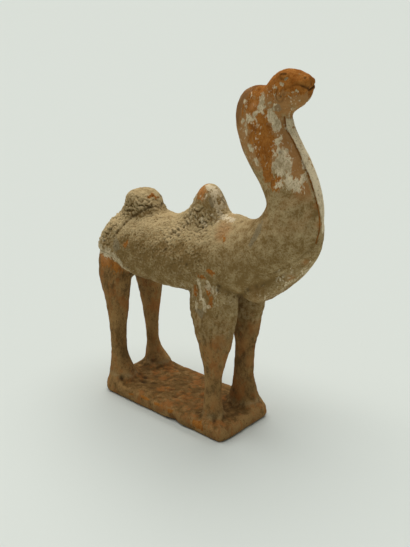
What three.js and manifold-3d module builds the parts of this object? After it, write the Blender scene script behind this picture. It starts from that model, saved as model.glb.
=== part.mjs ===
// Terracotta figure of a standing two-humped camel on its own slab, pressed in a mould and fired as
// one piece. Millimetres, +Z up, +X toward the head, +Y to the animal's left. The origin is the middle
// of the slab's flat underside.

import * as THREE from "three";
import { mergeVertices } from "three/addons/utils/BufferGeometryUtils.js";
import Module from "manifold-3d";

// The slab. Its right front corner is sharp and the other three are worn round. Each level of its
// side has a height and how far it lies inside the outline. The top is crossed by a few inner rings.
const SLAB = { front: 77.5, rear: 80.5, width: 75, height: 14 };
const SLAB_CORNERS = { rightFront: 3, leftFront: 13, leftRear: 16, rightRear: 9 };
const SLAB_LEVELS = [
  { z: 0, inset: 1.5 },
  { z: 3, inset: 0 },
  { z: 8, inset: -0.5 },
  { z: 12, inset: 0.5 },
  { z: 14, inset: 3 },
];
const SLAB_TOP_RINGS = [0.8, 0.45];
const SLAB_POINTS = 52;
const SLAB_WAVE = { depth: 0.7, along: 62, across: 50 };
const CHIP = { x: 11, y: -38, depth: 3.5, length: 6, sides: 8 };

// Trunk and neck are one skin. Its sections run from the tail along the barrel and turn up the neck.
// Each is given by its upper and lower end (x, z), its half width, and how square its lower half is.
const BODY_SECTIONS = [
  { at: "tail root", back: [-102.5, 156], belly: [-102.5, 134], half: 9, square: 1 },
  { at: "rump", back: [-93.5, 167], belly: [-98.5, 122], half: 20, square: 0.95 },
  { at: "croup", back: [-82.5, 177.5], belly: [-89.5, 118], half: 30.5, square: 0.82 },
  { at: "loin", back: [-64.5, 185.5], belly: [-68.5, 119], half: 33, square: 0.78 },
  { at: "barrel", back: [-25.5, 187.5], belly: [-28.5, 123], half: 33.5, square: 0.78 },
  { at: "girth", back: [15.5, 190.5], belly: [9.5, 123], half: 33, square: 0.78 },
  { at: "withers", back: [51.5, 196.5], belly: [47.5, 128], half: 32, square: 0.8 },
  { at: "shoulder", back: [72.5, 200.5], belly: [79.5, 135], half: 30.5, square: 0.85 },
  { at: "breast", back: [85.5, 206], belly: [105.5, 149], half: 28, square: 0.9 },
  { at: "neck root", back: [93.5, 215], belly: [129.5, 168], half: 25, square: 1 },
  { at: "low neck", back: [96.5, 225.5], belly: [144.5, 190.5], half: 22.5, square: 1 },
  { at: "mid neck", back: [89.5, 237.5], belly: [143.5, 215.5], half: 20.5, square: 1 },
  { at: "upper neck", back: [77.5, 250], belly: [137.5, 239], half: 19.5, square: 1 },
  { at: "throat", back: [66.5, 265], belly: [125.5, 261], half: 18.5, square: 1 },
  { at: "nape", back: [61.5, 281], belly: [112.5, 281], half: 17, square: 1 },
  { at: "poll", back: [63.5, 296], belly: [107.5, 299], half: 14.8, square: 1 },
  { at: "crown", back: [69, 307], belly: [99.5, 308.5], half: 11.3, square: 1 },
  { at: "top of the head", back: [77.5, 313], belly: [89.5, 313], half: 5, square: 1 },
];
const BODY_STEPS = 60;
const BODY_SIDES = 26;

// The fleece lies in rows of clumps and fades out toward the shoulder. Rows and clumps are the
// distances from one to the next, and each runs in waves of its own length.
const FLEECE = { depth: 1.2, rows: 18, rowWave: 31, clumps: 21, clumpWave: 35, slant: 29, bend: 1.5 };
const FLEECE_END = 62;
const FLEECE_FADE = 45;

// The head points forward and a little up.
const HEAD_SECTIONS = [
  { at: "behind the ears", back: [81.5, 302], belly: [96.5, 288], half: 10.5, square: 1 },
  { at: "ears", back: [88.5, 313], belly: [107, 291], half: 13.5, square: 1 },
  { at: "brow", back: [97, 323.5], belly: [115, 296.5], half: 13.5, square: 1 },
  { at: "eyes", back: [106.5, 328.5], belly: [120, 300], half: 12.5, square: 1 },
  { at: "muzzle", back: [116.5, 328.5], belly: [125.5, 303.5], half: 11, square: 1 },
  { at: "nostrils", back: [124.5, 326], belly: [130.5, 308.5], half: 9.5, square: 1 },
  { at: "lips", back: [129.5, 322], belly: [131.5, 314.5], half: 5.5, square: 1 },
];
const HEAD_STEPS = 16;
const HEAD_SIDES = 18;

// Legs: a height, how far the middle lies ahead of the leg's own line, half depth and half width.
const HIND_LEG = [
  { at: "in the slab", z: 8, ahead: 6, depth: 15, width: 13 },
  { at: "foot", z: 15, ahead: 5, depth: 14, width: 12 },
  { at: "fetlock", z: 26, ahead: 2, depth: 10.5, width: 9.5 },
  { at: "low shank", z: 40, ahead: 0, depth: 8, width: 8 },
  { at: "shank", z: 62, ahead: 0, depth: 8.5, width: 8 },
  { at: "hock", z: 84, ahead: 1, depth: 11.5, width: 9.5 },
  { at: "gaskin", z: 104, ahead: 0.5, depth: 16, width: 11 },
  { at: "thigh", z: 122, ahead: -1, depth: 21, width: 12 },
  { at: "haunch", z: 138, ahead: -1, depth: 21, width: 9.5 },
  { at: "in the barrel", z: 152, ahead: 1, depth: 14, width: 6 },
];
const FORE_LEG = [
  { at: "in the slab", z: 8, ahead: 3, depth: 14, width: 14 },
  { at: "foot", z: 15, ahead: 2, depth: 12.5, width: 12 },
  { at: "fetlock", z: 28, ahead: 1, depth: 9.5, width: 9.5 },
  { at: "low shank", z: 44, ahead: 0.5, depth: 8.5, width: 8 },
  { at: "shank", z: 60, ahead: 1, depth: 10, width: 8.5 },
  { at: "knee", z: 76, ahead: 1, depth: 14, width: 10.5 },
  { at: "tuft", z: 88, ahead: 1, depth: 18.5, width: 12 },
  { at: "forearm", z: 106, ahead: -1, depth: 22.5, width: 13 },
  { at: "elbow", z: 119, ahead: -1, depth: 26, width: 12.5 },
  { at: "shoulder", z: 136, ahead: -1, depth: 26, width: 11 },
  { at: "in the barrel", z: 154, ahead: 0, depth: 17, width: 8.5 },
];
const LEG_STEPS = 17;
const LEG_SIDES = 14;

// Where each leg's line stands at hip height and on the slab, and how stout it is at the foot, low on
// the shank, at the knee or hock and at the hip.
const LEGS = [
  { sections: HIND_LEG, hip: [-75, -20], foot: [-71, -21], stout: [1.18, 1, 1, 1] },
  { sections: HIND_LEG, hip: [-70, 20], foot: [-64.5, 21], stout: [1.1, 0.78, 0.94, 1] },
  { sections: FORE_LEG, hip: [52.5, -20], foot: [53.5, -23], stout: [0.88, 0.92, 0.98, 1.02] },
  { sections: FORE_LEG, hip: [56, 20], foot: [55.5, 19], stout: [1.34, 1.17, 0.77, 0.87] },
];
const LEG_HEIGHTS = { foot: SLAB.height, shank: 44, knee: 76, hip: 120 };

// Humps: a dome on a foot that spreads along the back. Rise is the height over which the dome closes,
// and a higher flatness gives a flatter crown. Shallow locks run down the sides.
const HUMPS = [
  { x: -52, top: 206, dome: 15.5, rise: 15, flatness: 3, spread: 8, locks: 0.063 },
  { x: 30, top: 224, dome: 11, rise: 16, flatness: 2.2, spread: 23, locks: 0.035 },
];
const HUMP_FOOT = 176;
const HUMP_SPREAD = { from: 186, fade: 14, sideways: 0.3 };
const HUMP_LOCKS = { count: 7, twist: 25 };
const HUMP_LEVELS = 9;
const HUMP_SIDES = 18;

// Hair that stands out from the skin in the middle plane. Each stop has its place along the body's
// sections, how proud it stands, how deep it is set into the skin, and its half thickness.
const FRINGE = [
  { at: "under the jaw", place: 15.2, proud: 2, deep: 12, thick: 3 },
  { at: "throat", place: 14, proud: 5, deep: 12, thick: 4.5 },
  { at: "upper neck", place: 12.2, proud: 5.5, deep: 12, thick: 5 },
  { at: "mid neck", place: 11, proud: 4, deep: 12, thick: 4.5 },
  { at: "low neck", place: 10, proud: 2, deep: 10, thick: 4.5 },
  { at: "neck root", place: 9.1, proud: 2.5, deep: 10, thick: 11 },
  { at: "breast", place: 8, proud: 6.5, deep: 17, thick: 20.5 },
  { at: "under the breast", place: 7.4, proud: 8, deep: 17, thick: 20 },
  { at: "between the legs", place: 6.7, proud: -2, deep: 12, thick: 10 },
];
const FRINGE_FORM = { steps: 32, square: 0.78 };

// The low mane is a cap of hair over the nape, pointed at its lower end. Edge is how far it reaches
// round the neck from the back, in degrees, and root how deep it is set into the skin.
const MANE = [
  { at: "top of the head", place: 16.9, proud: -0.5, edge: 50 },
  { at: "crown", place: 16.2, proud: 1.2, edge: 74 },
  { at: "poll", place: 15.3, proud: 1.3, edge: 70 },
  { at: "nape", place: 14.4, proud: 1.3, edge: 62 },
  { at: "point", place: 13.5, proud: -0.5, edge: 30 },
];
const MANE_FORM = { steps: 12, sides: 16, root: 4, square: 0.35 };

// The tail lies flat against the rump.
const TAIL_LINE = [
  [-100.5, 162],
  [-103.5, 152],
  [-104, 141],
  [-102, 130],
];
const TAIL = [
  { at: "root", place: 0, proud: 1, deep: 6, thick: 4 },
  { at: "middle", place: 1.5, proud: 2.5, deep: 6, thick: 3.5 },
  { at: "tuft", place: 2.4, proud: 2.5, deep: 6, thick: 4.5 },
  { at: "tip", place: 3, proud: 0.5, deep: 5, thick: 2 },
];
const TAIL_FORM = { steps: 9, square: 0.7 };

const RIDGE_SIDES = 12;

// Face, as places (x, z) and the distance out from the middle plane. Radii go along, across and up.
const EYE = { x: 110, z: 324.5, out: 9, ball: [2.5, 1.6, 2], lid: 2.9, lidThick: 0.9, tilt: 0.6, sides: 8 };
const EYE_LID_SHAPE = [1.15, 0.8, 1];
const EAR = { x: 110.5, z: 309, out: 12.4, shell: [4, 2.4, 5], lean: -0.5, sides: 9 };
const EAR_HOLLOW = { out: 2.2, radii: [2.4, 1.6, 3.4] };
const NOSTRIL = { x: 128.5, z: 322.5, out: 5.6, hole: [1.7, 2, 1.2], sides: 8 };
const MOUTH_LINE = [
  [136.5, 316.5],
  [128.5, 318.5],
  [120.5, 317.5],
  [113.5, 314.5],
];
const MOUTH_GAP = 1.3;
const MOUTH_DEPTH = 2.5;
const MOUTH_CUT = 40;

// The joins: edges shorter and triangles flatter than these are taken up by their neighbours.
const SEAM_SHORT = 0.12;
const SEAM_FLAT = 0.03;
const SEAM_PASSES = 4;

// One closed skin through rings of points, each end drawn together at its middle.
function skinThrough(rings) {
  const sides = rings[0].length;
  const points = rings.flat();
  const middles = [rings[0], rings.at(-1)].map((ring) =>
    ring.reduce((sum, p) => sum.add(p), new THREE.Vector3()).divideScalar(sides),
  );
  const faces = [];
  for (let r = 0; r + 1 < rings.length; r += 1) {
    for (let s = 0; s < sides; s += 1) {
      const a = r * sides + s;
      const b = r * sides + ((s + 1) % sides);
      faces.push(a, b, b + sides, a, b + sides, a + sides);
    }
  }
  const start = points.length;
  const last = start - sides;
  for (let s = 0; s < sides; s += 1) {
    const next = (s + 1) % sides;
    faces.push(start, next, s, start + 1, last + s, last + next);
  }
  return new THREE.BufferGeometry().setFromPoints([...points, ...middles]).setIndex(faces);
}

// A ring of points about the Z axis direction, from a function of the turn.
function ringOf(sides, pointAt) {
  const ring = [];
  for (let s = 0; s < sides; s += 1) {
    ring.push(pointAt((2 * Math.PI * s) / sides));
  }
  return ring;
}

// A power that keeps the sign: below 1 it makes a round section squarer.
function swell(value, power) {
  return Math.sign(value) * Math.abs(value) ** power;
}

// The two edge lines of a set of sections, and the line midway between them. In the edge lines Y
// carries the half width, so that it is smoothed with them.
function edgeLines(sections) {
  const line = (place) => new THREE.CatmullRomCurve3(sections.map(place));
  return {
    back: line(({ back, half }) => new THREE.Vector3(back[0], half, back[1])),
    belly: line(({ belly, half }) => new THREE.Vector3(belly[0], half, belly[1])),
    middle: line(({ back, belly }) => new THREE.Vector3(back[0] + belly[0], 0, back[1] + belly[1])),
  };
}

function squareAt(sections, share) {
  const place = share * (sections.length - 1);
  const index = Math.min(Math.floor(place), sections.length - 2);
  return THREE.MathUtils.lerp(sections[index].square, sections[index + 1].square, place - index);
}

// A wave of a given length along a distance.
function wave(distance, length, ahead = 0) {
  return Math.sin((2 * Math.PI * distance) / length + ahead);
}

// How far the fleece stands out at a point of the trunk.
function fleece({ x, y, z }) {
  const rows = wave(z, FLEECE.rows, FLEECE.bend * wave(x, FLEECE.rowWave));
  const slant = (2 * Math.PI * y) / FLEECE.slant;
  const clumps = wave(x, FLEECE.clumps, slant + FLEECE.bend * wave(z, FLEECE.clumpWave));
  const fade = THREE.MathUtils.smoothstep(FLEECE_END - x, 0, FLEECE_FADE);
  return FLEECE.depth * rows * clumps * fade;
}

// A point on the skin of a section, at a turn round from its upper end, and the way out from there.
function onSection(sections, lines, share, turn) {
  const back = lines.back.getPoint(share);
  const belly = lines.belly.getPoint(share);
  const power = Math.cos(turn) < 0 ? squareAt(sections, share) : 1;
  const point = new THREE.Vector3().lerpVectors(belly, back, (1 + swell(Math.cos(turn), power)) / 2);
  point.y = back.y * swell(Math.sin(turn), power);
  const middle = new THREE.Vector3((back.x + belly.x) / 2, 0, (back.z + belly.z) / 2);
  return { point, out: point.clone().sub(middle).normalize() };
}

// A skin through upright sections in the XZ plane, smoothed and evenly stepped between them.
function sectionSkin(sections, steps, sides, relief = () => 0) {
  const lines = edgeLines(sections);
  const rings = [];
  for (let i = 0; i <= steps; i += 1) {
    const share = lines.middle.getUtoTmapping(i / steps);
    rings.push(
      ringOf(sides, (turn) => {
        const { point, out } = onSection(sections, lines, share, turn);
        return point.addScaledVector(out, relief(point));
      }),
    );
  }
  return skinThrough(rings);
}

// A low cap of hair over the upper ends of the sections.
function cap(sections, stops, { steps, sides, root, square }) {
  const lines = edgeLines(sections);
  const last = sections.length - 1;
  const turns = (degrees) => THREE.MathUtils.degToRad(degrees);
  const sizes = new THREE.CatmullRomCurve3(
    stops.map(({ place, proud, edge }) => new THREE.Vector3(place / last, proud, turns(edge))),
  );
  const rings = [];
  for (let i = 0; i <= steps; i += 1) {
    const { x: share, y: proud, z: edge } = sizes.getPoint(i / steps);
    rings.push(
      ringOf(sides, (turn) => {
        const { point, out } = onSection(sections, lines, share, edge * Math.sin(turn));
        const height = Math.cos(turn) > 0 ? proud : root;
        return point.addScaledVector(out, height * swell(Math.cos(turn), square));
      }),
    );
  }
  return skinThrough(rings);
}

// How stout a leg is at a height, against its sections.
function stoutAt(z, [foot, shank, knee, hip]) {
  const heights = LEG_HEIGHTS;
  const low = THREE.MathUtils.lerp(foot, shank, THREE.MathUtils.smoothstep(z, heights.foot, heights.shank));
  const middle = THREE.MathUtils.lerp(low, knee, THREE.MathUtils.smoothstep(z, heights.shank, heights.knee));
  return THREE.MathUtils.lerp(middle, hip, THREE.MathUtils.smoothstep(z, heights.knee, heights.hip));
}

// A leg: round sections stacked in height, leaning from its foot to its hip.
function leg({ sections, hip, foot, stout }) {
  const line = new THREE.CatmullRomCurve3(sections.map((s) => new THREE.Vector3(s.ahead, 0, s.z)));
  const size = new THREE.CatmullRomCurve3(sections.map((s) => new THREE.Vector3(s.depth, s.width, 0)));
  const rings = [];
  for (let i = 0; i <= LEG_STEPS; i += 1) {
    const middle = line.getPoint(i / LEG_STEPS);
    const half = size.getPoint(i / LEG_STEPS).multiplyScalar(stoutAt(middle.z, stout));
    const up = (middle.z - LEG_HEIGHTS.foot) / (LEG_HEIGHTS.hip - LEG_HEIGHTS.foot);
    middle.x += THREE.MathUtils.lerp(foot[0], hip[0], up);
    middle.y = THREE.MathUtils.lerp(foot[1], hip[1], up);
    rings.push(
      ringOf(LEG_SIDES, (turn) => {
        const out = new THREE.Vector3(half.x * Math.cos(turn), half.y * Math.sin(turn), 0);
        return out.add(middle);
      }),
    );
  }
  return skinThrough(rings);
}

// A hump is round at its crown and drawn out along the back at its foot.
function hump({ x, top, dome, rise, flatness, spread, locks }) {
  const rings = [];
  for (let level = 0; level < HUMP_LEVELS; level += 1) {
    const share = level / (HUMP_LEVELS - 0.5);
    const z = HUMP_FOOT + (top - HUMP_FOOT) * Math.sin((share * Math.PI) / 2);
    const up = Math.max(0, (z - (top - rise)) / rise);
    const crown = dome * (1 - up ** flatness) ** (1 / flatness);
    const foot = (1 - up) * spread * Math.exp((HUMP_SPREAD.from - z) / HUMP_SPREAD.fade);
    const along = crown + foot;
    const across = crown + foot * HUMP_SPREAD.sideways;
    rings.push(
      ringOf(HUMP_SIDES, (turn) => {
        const lock = 1 + locks * (1 - up) * wave(z, HUMP_LOCKS.twist, HUMP_LOCKS.count * turn);
        const dx = along * lock * Math.cos(turn);
        const dy = across * lock * Math.sin(turn);
        return new THREE.Vector3(x + dx, dy, z);
      }),
    );
  }
  return skinThrough(rings);
}

// Hair raised along a line in the middle plane, on the line's right hand.
function ridge(line, lastPlace, stops, { steps, square }) {
  const spots = stops.map(({ place, deep }) => new THREE.Vector2(place / lastPlace, deep));
  const places = new THREE.SplineCurve(spots);
  const sizes = new THREE.SplineCurve(stops.map(({ proud, thick }) => new THREE.Vector2(proud, thick)));
  const rings = [];
  for (let i = 0; i <= steps; i += 1) {
    const { x: share, y: deep } = places.getPoint(i / steps);
    const { x: proud, y: thick } = sizes.getPoint(i / steps);
    const foot = line.getPoint(THREE.MathUtils.clamp(share, 0, 1));
    const run = line.getTangent(THREE.MathUtils.clamp(share, 0, 1)).setY(0).normalize();
    const out = new THREE.Vector3(run.z, 0, -run.x);
    const reach = (proud + deep) / 2;
    const middle = foot.clone().setY(0).addScaledVector(out, proud - reach);
    rings.push(
      ringOf(RIDGE_SIDES, (turn) => {
        const point = middle.clone().addScaledVector(out, reach * swell(Math.cos(turn), square));
        point.y += thick * swell(Math.sin(turn), square);
        return point;
      }),
    );
  }
  return skinThrough(rings);
}

// The slab's outline from above, each corner with its own roundness.
function slabOutline() {
  const y = SLAB.width / 2;
  const { rightFront, leftFront, leftRear, rightRear } = SLAB_CORNERS;
  const outline = new THREE.Shape();
  outline.absarc(SLAB.front - rightFront, -y + rightFront, rightFront, -Math.PI / 2, 0);
  outline.absarc(SLAB.front - leftFront, y - leftFront, leftFront, 0, Math.PI / 2);
  outline.absarc(-SLAB.rear + leftRear, y - leftRear, leftRear, Math.PI / 2, Math.PI);
  outline.absarc(-SLAB.rear + rightRear, -y + rightRear, rightRear, Math.PI, 1.5 * Math.PI);
  outline.closePath();
  return outline.getSpacedPoints(SLAB_POINTS).slice(0, SLAB_POINTS);
}

// The slab's faces are uneven, as pressed by hand. Only its underside is flat.
function slabWave(x, y) {
  const { depth, along, across } = SLAB_WAVE;
  return depth * wave(x, along, wave(y, across)) * wave(x + y, across);
}

function slab() {
  const outline = slabOutline();
  const rings = SLAB_LEVELS.map(({ z, inset }) =>
    outline.map((p) => {
      const reach = p.length();
      const uneven = z > 0 ? slabWave(p.x, p.y) : 0;
      const share = (reach - inset + uneven) / reach;
      return new THREE.Vector3(p.x * share, p.y * share, z);
    }),
  );
  SLAB_TOP_RINGS.forEach((share) => {
    rings.push(
      outline.map((p) => {
        const [x, y] = [p.x * share, p.y * share];
        return new THREE.Vector3(x, y, SLAB.height + slabWave(x, y));
      }),
    );
  });
  return skinThrough(rings);
}

// Joining leaves slivers along the seams. A short edge is drawn to its lower end, and a triangle
// too flat to matter is taken up by its neighbour.
function tidySeams({ vertProperties, triVerts }) {
  const points = [];
  for (let i = 0; i < vertProperties.length; i += 3) {
    points.push(new THREE.Vector3().fromArray(vertProperties, i));
  }
  const faces = [];
  for (let i = 0; i < triVerts.length; i += 3) {
    faces.push([...triVerts.slice(i, i + 3)]);
  }
  const around = points.map(() => new Set());
  faces.forEach((face, i) => face.forEach((p) => around[p].add(i)));

  const shared = (a, b) => [...around[a]].filter((i) => around[b].has(i));
  const near = (p) => new Set([...around[p]].flatMap((i) => faces[i]).filter((q) => q !== p));
  const place = (i, face) => {
    faces[i].forEach((p) => around[p].delete(i));
    faces[i] = face;
    face.forEach((p) => around[p].add(i));
  };

  const drawTogether = (a, b) => {
    const [from, to] = points[a].z > points[b].z ? [a, b] : [b, a];
    const common = [...near(from)].filter((p) => near(to).has(p));
    if (common.length !== 2) return;
    shared(from, to).forEach((i) => place(i, []));
    [...around[from]].forEach((i) => place(i, faces[i].map((p) => (p === from ? to : p))));
  };

  const flip = (i) => {
    const length = (k) => points[faces[i][k]].distanceTo(points[faces[i][(k + 1) % 3]]);
    const k = [0, 1, 2].reduce((best, n) => (length(n) > length(best) ? n : best));
    const [a, b, c] = [0, 1, 2].map((n) => faces[i][(k + n) % 3]);
    const triangle = new THREE.Triangle(points[a], points[b], points[c]);
    if ((2 * triangle.getArea()) / length(k) > SEAM_FLAT) return;
    const other = shared(a, b).find((n) => n !== i);
    const d = faces[other].find((p) => p !== a && p !== b);
    if (shared(c, d).length > 0) return;
    place(i, [a, d, c]);
    place(other, [d, b, c]);
  };

  for (let pass = 0; pass < SEAM_PASSES; pass += 1) {
    for (let i = 0; i < faces.length; i += 1) {
      for (let k = 0; k < 3 && faces[i].length; k += 1) {
        const [a, b] = [faces[i][k], faces[i][(k + 1) % 3]];
        if (points[a].distanceTo(points[b]) < SEAM_SHORT) drawTogether(a, b);
      }
      if (faces[i].length) flip(i);
    }
  }
  const left = faces.filter((face) => face.length);
  return new THREE.BufferGeometry().setFromPoints(points).setIndex(left.flat());
}

const wasm = await Module();
wasm.setup();

function makeSolid(vertProperties, triVerts) {
  return new wasm.Manifold(new wasm.Mesh({ numProp: 3, vertProperties, triVerts }));
}

// A closed geometry as a solid, turned the right way out.
function solidOf(geometry) {
  const bare = geometry.clone();
  bare.deleteAttribute("normal");
  bare.deleteAttribute("uv");
  const merged = mergeVertices(bare, 1e-4);
  const triVerts = new Uint32Array(merged.index.array);
  const solid = makeSolid(merged.attributes.position.array, triVerts);
  if (solid.volume() > 0) return solid;
  for (let i = 0; i < triVerts.length; i += 3) {
    [triVerts[i + 1], triVerts[i + 2]] = [triVerts[i + 2], triVerts[i + 1]];
  }
  return makeSolid(merged.attributes.position.array, triVerts);
}

// The same shape on both sides of the head. Side is -1 on the right and 1 on the left.
function bothSides(place, shape) {
  return [-1, 1].map((side) => shape(side).translate(place.x, side * place.out, place.z));
}

function ellipsoid(radii, sides) {
  return new THREE.SphereGeometry(1, sides, Math.round(sides * 0.6)).scale(...radii);
}

// The eye bulges inside a raised lid.
function eyeLid(side) {
  return new THREE.TorusGeometry(EYE.lid, EYE.lidThick, 5, EYE.sides + 2)
    .scale(...EYE_LID_SHAPE)
    .rotateX(Math.PI / 2 + side * EYE.tilt);
}

function eyeBall(side) {
  return ellipsoid(EYE.ball, EYE.sides).rotateX(side * EYE.tilt);
}

function earShell() {
  return ellipsoid(EAR.shell, EAR.sides).rotateY(EAR.lean);
}

function earHollow(side) {
  return ellipsoid(EAR_HOLLOW.radii, EAR.sides).rotateY(EAR.lean).translate(0, side * EAR_HOLLOW.out, 0);
}

function nostril() {
  return ellipsoid(NOSTRIL.hole, NOSTRIL.sides);
}

function chip() {
  const radii = [CHIP.length, CHIP.depth, CHIP.depth];
  return ellipsoid(radii, CHIP.sides).translate(CHIP.x, CHIP.y, 0);
}

// A slit along the mouth line that cuts only the lips and cheeks.
function mouthSlit() {
  const upper = MOUTH_LINE.map(([x, z]) => new THREE.Vector2(x, z + MOUTH_GAP / 2));
  const lower = MOUTH_LINE.map(([x, z]) => new THREE.Vector2(x, z - MOUTH_GAP / 2)).reverse();
  const outline = new THREE.Shape([...upper, ...lower]);
  return new THREE.ExtrudeGeometry(outline, { depth: MOUTH_CUT, bevelEnabled: false })
    .translate(0, 0, -MOUTH_CUT / 2)
    .rotateX(Math.PI / 2);
}

// The head without its outermost layer, which is as deep as the mouth is cut.
const HEAD_CORE = HEAD_SECTIONS.map(({ back, belly, half, ...rest }) => {
  const share = MOUTH_DEPTH / Math.hypot(back[0] - belly[0], back[1] - belly[1]);
  const between = (from, to) => [
    THREE.MathUtils.lerp(from[0], to[0], share) - MOUTH_DEPTH,
    THREE.MathUtils.lerp(from[1], to[1], share),
  ];
  return { ...rest, back: between(back, belly), belly: between(belly, back), half: half - MOUTH_DEPTH };
});

const bodyLines = edgeLines(BODY_SECTIONS);
const LAST_PLACE = BODY_SECTIONS.length - 1;
const tailLine = new THREE.CatmullRomCurve3(TAIL_LINE.map(([x, z]) => new THREE.Vector3(x, 0, z)));

const masses = [
  slab(),
  sectionSkin(BODY_SECTIONS, BODY_STEPS, BODY_SIDES, fleece),
  sectionSkin(HEAD_SECTIONS, HEAD_STEPS, HEAD_SIDES),
  ...HUMPS.map(hump),
  ...LEGS.map(leg),
  ridge(bodyLines.belly, LAST_PLACE, FRINGE, FRINGE_FORM),
  cap(BODY_SECTIONS, MANE, MANE_FORM),
  ridge(tailLine, TAIL_LINE.length - 1, TAIL, TAIL_FORM),
  ...bothSides(EYE, eyeLid),
  ...bothSides(EYE, eyeBall),
  ...bothSides(EAR, earShell),
].map(solidOf);
const headCore = solidOf(sectionSkin(HEAD_CORE, HEAD_STEPS, HEAD_SIDES));
const cuts = [
  solidOf(mouthSlit()).subtract(headCore),
  ...[...bothSides(EAR, earHollow), ...bothSides(NOSTRIL, nostril), chip()].map(solidOf),
];

const joined = masses.reduce((sum, next) => sum.add(next));
const whole = cuts.reduce((sum, cut) => sum.subtract(cut), joined);
const geometry = tidySeams(whole.getMesh());
geometry.computeVertexNormals();

const clay = new THREE.MeshStandardMaterial({ color: 0xa06a45, roughness: 0.95, metalness: 0 });
const camel = new THREE.Mesh(geometry, clay);
camel.name = "camel_figure";
const figure = new THREE.Group();
figure.add(camel);

export default figure;
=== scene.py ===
# %% [markdown]
# # A terracotta camel on its slab
# The figure was pressed in a mould, fired once, coated with white slip and then buried for a long
# time. Orange clay, slip and brown earth all show on it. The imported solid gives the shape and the
# size. This lesson turns that solid into a finely worked skin and gives it the look of the clay.
# Everything is in metres, but the carving below is worked out in millimetres, as a potter would.

import itertools
import math

import bmesh
import bpy
import numpy as np
from mathutils.bvhtree import BVHTree
from mathutils.kdtree import KDTree
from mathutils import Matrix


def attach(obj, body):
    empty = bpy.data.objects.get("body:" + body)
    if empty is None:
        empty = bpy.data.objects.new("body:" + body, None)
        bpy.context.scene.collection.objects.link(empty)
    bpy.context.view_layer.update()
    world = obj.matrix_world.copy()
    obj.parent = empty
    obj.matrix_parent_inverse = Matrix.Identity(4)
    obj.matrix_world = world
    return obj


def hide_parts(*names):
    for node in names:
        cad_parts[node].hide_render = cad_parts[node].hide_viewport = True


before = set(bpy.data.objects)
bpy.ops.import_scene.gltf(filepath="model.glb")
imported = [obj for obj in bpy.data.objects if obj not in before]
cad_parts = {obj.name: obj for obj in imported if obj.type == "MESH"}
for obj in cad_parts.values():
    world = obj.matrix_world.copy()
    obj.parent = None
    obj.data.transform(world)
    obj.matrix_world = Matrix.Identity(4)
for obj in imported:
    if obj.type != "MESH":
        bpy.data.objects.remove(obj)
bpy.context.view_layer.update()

# %% [markdown]
# ## Camera
# The figure is seen from its right front, a little from above, at about arm's length. A camera could
# be aimed at the middle of the figure, but the angles below were found from the edges of the slab,
# so the slab's corners fall where they should. The lens follows from the picture's height. The plain
# view transform shows the colours as they are mixed, without a film's soft contrast.

# %% Place the camera
PICTURE_HEIGHT = 547
SENSOR_HEIGHT = 36.0
FOCAL_PIXELS = 822
CAMERA_PLACE = (0.4864, -0.5240, 0.4018)
CAMERA_TURN = (69.46, -0.24, 41.52)
camera_data = bpy.data.cameras.new("camera")
camera_data.sensor_fit = "VERTICAL"
camera_data.sensor_height = SENSOR_HEIGHT
camera_data.lens = FOCAL_PIXELS * SENSOR_HEIGHT / PICTURE_HEIGHT
camera = bpy.data.objects.new("camera", camera_data)
camera.location = CAMERA_PLACE
camera.rotation_euler = [math.radians(angle) for angle in CAMERA_TURN]
bpy.context.scene.collection.objects.link(camera)
bpy.context.scene.camera = camera
bpy.context.scene.view_settings.view_transform = "Standard"
print("lens:", round(camera_data.lens, 1), "mm")

# %% [markdown]
# ## A fine skin
# The solid is made of a few thousand flat faces. To carve hair into it, the skin needs points about
# as close as the finest curl. Subdividing would keep every join as a sharp seam. A voxel remesh
# instead wraps one even skin around the whole figure, so the legs grow out of the trunk and the slab
# as the clay does.

# %% Wrap an even skin around the solid
SKIN_STEP = 1.87
MM = 0.001


def wrap_skin(node, name, step):
    """A new object: the node's shape under one even skin."""
    piece = bpy.data.objects.new(name, node.data.copy())
    bpy.context.scene.collection.objects.link(piece)
    wrap = piece.modifiers.new("wrap", "REMESH")
    wrap.mode = "VOXEL"
    wrap.voxel_size = step * MM
    shown = piece.evaluated_get(bpy.context.evaluated_depsgraph_get())
    skin = bpy.data.meshes.new_from_object(shown)
    piece.modifiers.clear()
    piece.data = skin
    return piece


camel = wrap_skin(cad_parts["camel_figure"], "camel_and_slab", SKIN_STEP)
skin = camel.data
print("skin points:", len(skin.vertices), "faces:", len(skin.polygons))


# %% Read the skin into arrays
def read_points(mesh):
    flat = np.empty(3 * len(mesh.vertices))
    mesh.vertices.foreach_get("co", flat)
    return flat.reshape(-1, 3) / MM


def write_points(mesh, points):
    mesh.vertices.foreach_set("co", (points * MM).ravel())
    mesh.update()


def read_normals(mesh):
    flat = np.empty(3 * len(mesh.vertices))
    mesh.vertices.foreach_get("normal", flat)
    return flat.reshape(-1, 3)


class Web:
    """Which points lie next to each other on a skin."""

    def __init__(self, mesh):
        pairs = np.empty(2 * len(mesh.edges), dtype=np.int64)
        mesh.edges.foreach_get("vertices", pairs)
        pairs = pairs.reshape(-1, 2)
        self.here = np.concatenate([pairs[:, 0], pairs[:, 1]])
        self.there = np.concatenate([pairs[:, 1], pairs[:, 0]])
        self.count = len(mesh.vertices)
        self.neighbours = np.bincount(self.here, minlength=self.count)

    def mean(self, points):
        """Each point's mean over its neighbours."""
        columns = [np.bincount(self.here, column[self.there], minlength=self.count) for column in points.T]
        return np.stack(columns, axis=1) / self.neighbours[:, None]


web = Web(skin)
print("edges on the skin:", len(web.here) // 2)

# %% [markdown]
# ## Softening
# The wrapped skin still shows the flat faces of the solid. Smoothing by averaging each point with its
# neighbours would also shrink the thin legs. A step of smoothing followed by a slightly larger step
# back takes out the small bumps and keeps the thickness. The slab's upper edges are then melted
# further, because thumbs have rounded them.


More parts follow.
